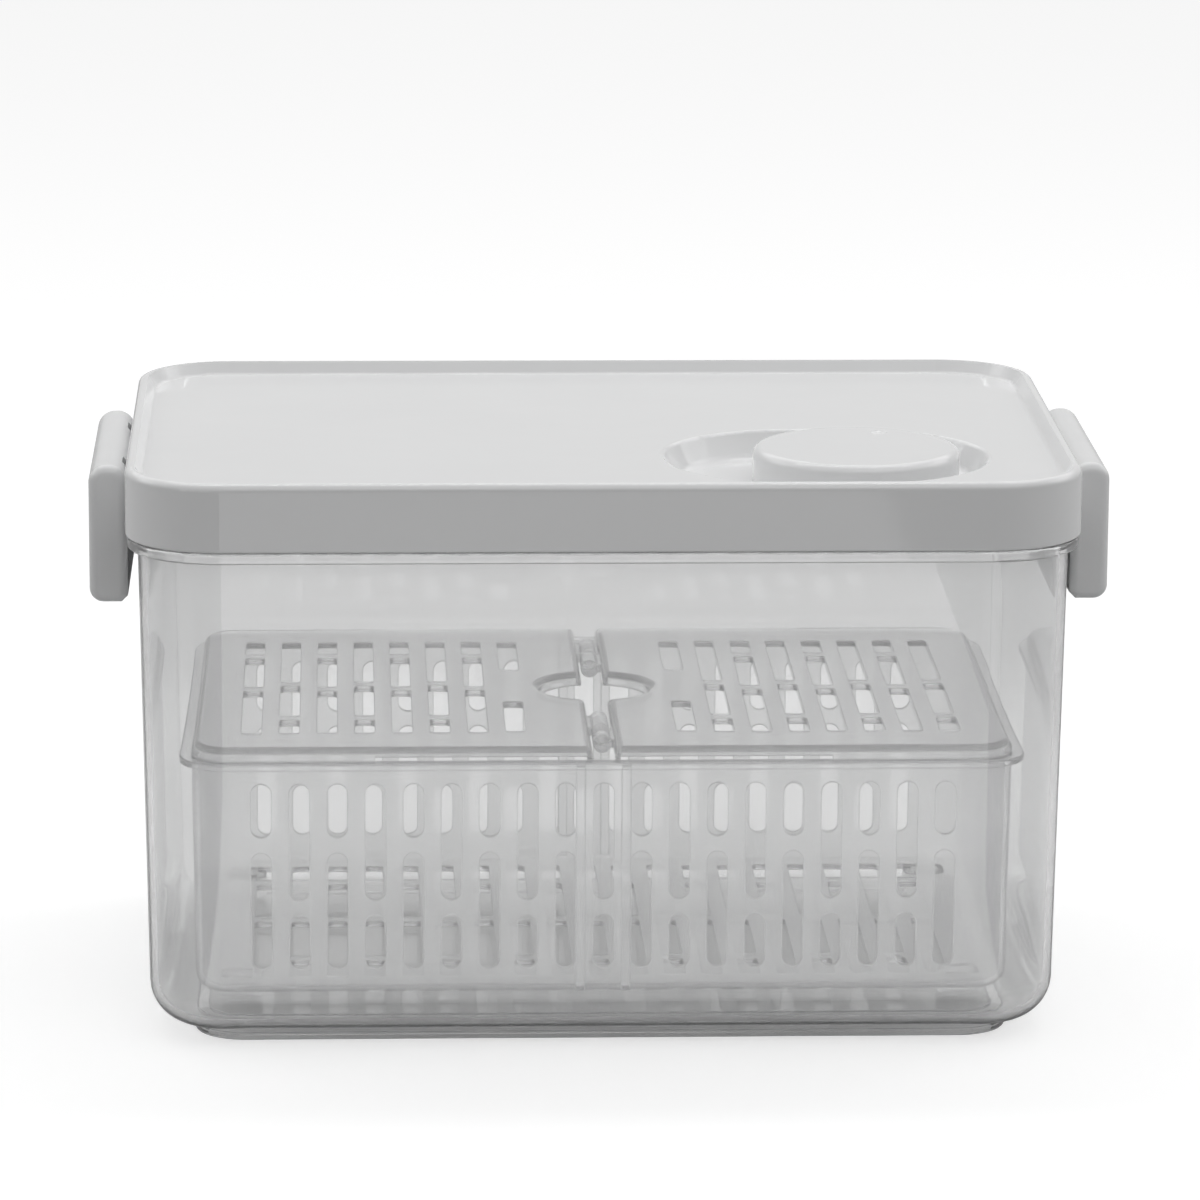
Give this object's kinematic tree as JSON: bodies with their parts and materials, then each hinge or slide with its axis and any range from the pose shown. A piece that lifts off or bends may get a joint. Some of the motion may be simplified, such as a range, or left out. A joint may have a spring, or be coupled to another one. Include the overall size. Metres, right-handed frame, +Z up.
{
  "type": "food storage container",
  "caption": "Clear rectangular food keeper with a white latched lid, a turning vent dial and a lift-out drain basket under a folding slotted lid.",
  "frame": {"origin": "middle of the base, on the surface that the container stands on", "axes": "+X along the long side towards the vent dial's end, -Y the front with the dial, +Z up"},
  "size_m": [0.325, 0.208, 0.1839],
  "materials": {
    "clear_plastic": "clear, glossy",
    "white_plastic": "white, glossy",
    "frosted_plastic": "frosted, translucent",
    "silicone": "soft, satin",
    "steel": "drawn"
  },
  "bodies": {
    "tub": {"tub": "clear_plastic"},
    "lid": {"lid_shell": "white_plastic", "lid_seal": "silicone", "vent_gasket": "silicone"},
    "vent": {"vent_dial": "white_plastic", "vent_shutter": "white_plastic", "vent_screw": "steel"},
    "left_latch": {"latch_left": "white_plastic", "latch_pin_left": "steel"},
    "right_latch": {"latch_right": "white_plastic", "latch_pin_right": "steel"},
    "drain_basket": {"basket": "frosted_plastic"},
    "left_leaf": {"basket_lid_left": "frosted_plastic"},
    "right_leaf": {"basket_lid_right": "frosted_plastic"}
  },
  "joints": [
    {"name": "lid_lift", "type": "slide", "parent": "tub", "child": "lid", "axis": [0, 0, 1], "range_m": [0, 0.42]},
    {"name": "dial_turn", "type": "hinge", "parent": "lid", "child": "vent", "pos_m": [0.0816, -0.0411, 0.171], "axis": [0, 0, 1], "range_deg": [0, 45]},
    {"name": "left_latch_swing", "type": "hinge", "parent": "lid", "child": "left_latch", "pos_m": [-0.156, 0, 0.1725], "axis": [0, 1, 0], "range_deg": [0, 80]},
    {"name": "right_latch_swing", "type": "hinge", "parent": "lid", "child": "right_latch", "pos_m": [0.156, 0, 0.1725], "axis": [0, -1, 0], "range_deg": [0, 80]},
    {"name": "basket_lift", "type": "slide", "parent": "tub", "child": "drain_basket", "axis": [0, 0, 1], "range_m": [0, 0.175]},
    {"name": "left_leaf_fold", "type": "hinge", "parent": "drain_basket", "child": "left_leaf", "pos_m": [0, 0, 0.0922], "axis": [0, 1, 0], "range_deg": [0, 60]},
    {"name": "right_leaf_fold", "type": "hinge", "parent": "drain_basket", "child": "right_leaf", "pos_m": [0, 0, 0.0922], "axis": [0, -1, 0], "range_deg": [0, 60]}
  ],
  "couplings": [
    {"joint": "basket_lift", "follows": "lid_lift", "ratio": 0.41666},
    {"joint": "left_leaf_fold", "follows": "lid_lift", "rad_per_m": 2.493},
    {"joint": "right_leaf_fold", "follows": "lid_lift", "rad_per_m": 2.493}
  ]
}
